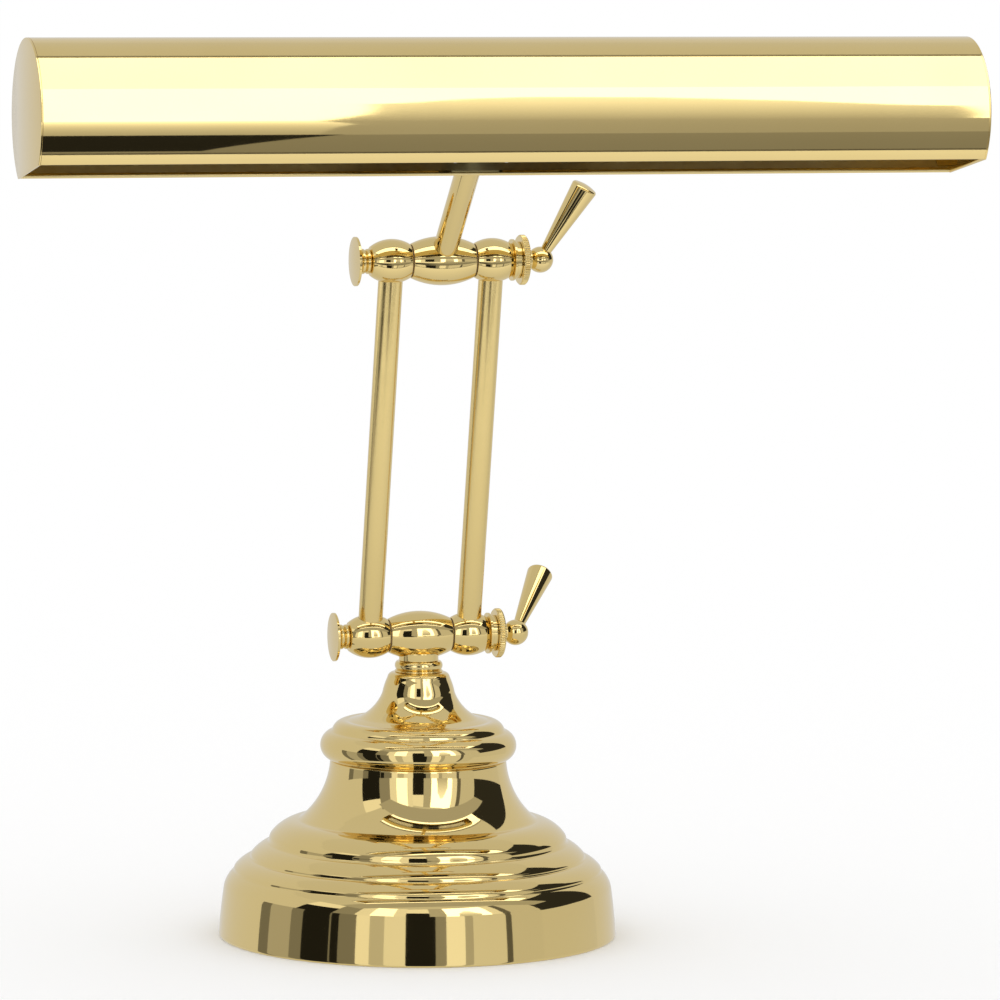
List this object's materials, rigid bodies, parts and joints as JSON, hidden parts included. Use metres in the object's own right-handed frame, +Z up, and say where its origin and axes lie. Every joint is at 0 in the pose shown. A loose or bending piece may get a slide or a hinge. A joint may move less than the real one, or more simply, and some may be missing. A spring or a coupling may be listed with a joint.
{
  "type": "piano desk lamp",
  "caption": "Polished brass piano lamp: trough shade on a swing-arm neck with lever-clamped knuckles over a stepped round weighted base.",
  "frame": {"origin": "middle of the felt foot, on the table", "axes": "+Z up, +X along the knuckle axes and the shade, levers on the +X side, -Y is the front"},
  "size_m": [0.352, 0.2078, 0.3448],
  "materials": {
    "polished_brass": "polished and lacquered",
    "plain_brass": "turned, unlacquered",
    "cast_iron": "rough cast, black",
    "black_steel": "black enamel",
    "zinc_steel": "zinc plated",
    "felt": "green wool felt",
    "black_plastic": "black moulded",
    "fibre": "dark vulcanised fibre",
    "phenolic": "black phenolic",
    "nickel_cap": "rolled thread",
    "frosted_glass": "frosted inside"
  },
  "bodies": {
    "base": {"base_shell": "polished_brass", "felt_pad": "felt", "base_plate": "black_steel", "base_weight": "cast_iron", "cord_bushing": "black_plastic", "base_cap": "polished_brass", "neck_collar": "polished_brass", "centre_nipple": "plain_brass", "nipple_washer": "zinc_steel", "nipple_nut": "zinc_steel", "lower_barrel": "polished_brass", "lower_friction_washers": "fibre"},
    "arms": {"left_arm": "polished_brass", "right_arm": "polished_brass", "lower_left_ball": "polished_brass", "lower_right_ball": "polished_brass", "upper_left_ball": "polished_brass", "upper_right_ball": "polished_brass", "lower_clamp_screw": "polished_brass", "upper_clamp_screw": "polished_brass", "lower_beaded_collar": "polished_brass", "upper_beaded_collar": "polished_brass", "lower_flange_ring": "polished_brass", "upper_flange_ring": "polished_brass"},
    "lower_nut": {"lower_knurled_nut": "polished_brass"},
    "lower_lever": {"lower_lever_ball": "polished_brass", "lower_lever_handle": "polished_brass"},
    "upper_nut": {"upper_knurled_nut": "polished_brass"},
    "upper_lever": {"upper_lever_ball": "polished_brass", "upper_lever_handle": "polished_brass"},
    "head": {"upper_barrel": "polished_brass", "upper_friction_washers": "fibre", "stem": "polished_brass", "stem_saddle": "polished_brass", "shade_shell": "polished_brass", "left_end_cap": "polished_brass", "right_end_cap": "polished_brass", "saddle_washer": "zinc_steel", "stem_nipple": "plain_brass", "stem_nut": "zinc_steel", "socket_yoke": "zinc_steel", "socket_screws": "zinc_steel", "left_socket": "phenolic", "right_socket": "phenolic", "left_contacts": "plain_brass", "right_contacts": "plain_brass", "left_bulb_base": "nickel_cap", "right_bulb_base": "nickel_cap", "left_bulb_glass": "frosted_glass", "right_bulb_glass": "frosted_glass", "switch_body": "phenolic", "switch_bushing": "plain_brass", "switch_ring_nut": "polished_brass"},
    "knob": {"switch_knob": "polished_brass"}
  },
  "joints": [
    {"name": "arm_swing", "type": "hinge", "parent": "base", "child": "arms", "pos_m": [0, 0, 0.115], "axis": [1, 0, 0], "range_deg": [-60, 60]},
    {"name": "lower_nut_turn", "type": "hinge", "parent": "arms", "child": "lower_nut", "pos_m": [0.03095, 0, 0.115], "axis": [1, 0, 0], "range_deg": [0, 180]},
    {"name": "lower_lever_turn", "type": "hinge", "parent": "arms", "child": "lower_lever", "pos_m": [0.03803, 0, 0.115], "axis": [1, 0, 0], "range_deg": [0, 180]},
    {"name": "head_tilt", "type": "hinge", "parent": "arms", "child": "head", "pos_m": [0, -0.03176, 0.25945], "axis": [1, 0, 0], "range_deg": [-130, 70]},
    {"name": "upper_nut_turn", "type": "hinge", "parent": "arms", "child": "upper_nut", "pos_m": [0.03095, -0.03176, 0.25945], "axis": [1, 0, 0], "range_deg": [0, 180]},
    {"name": "upper_lever_turn", "type": "hinge", "parent": "arms", "child": "upper_lever", "pos_m": [0.03803, -0.03176, 0.25945], "axis": [1, 0, 0], "range_deg": [0, 180]},
    {"name": "switch_turn", "type": "hinge", "parent": "head", "child": "knob", "pos_m": [0, -0.10254, 0.31675], "axis": [0, 0.9383, 0.3458], "continuous": true}
  ]
}
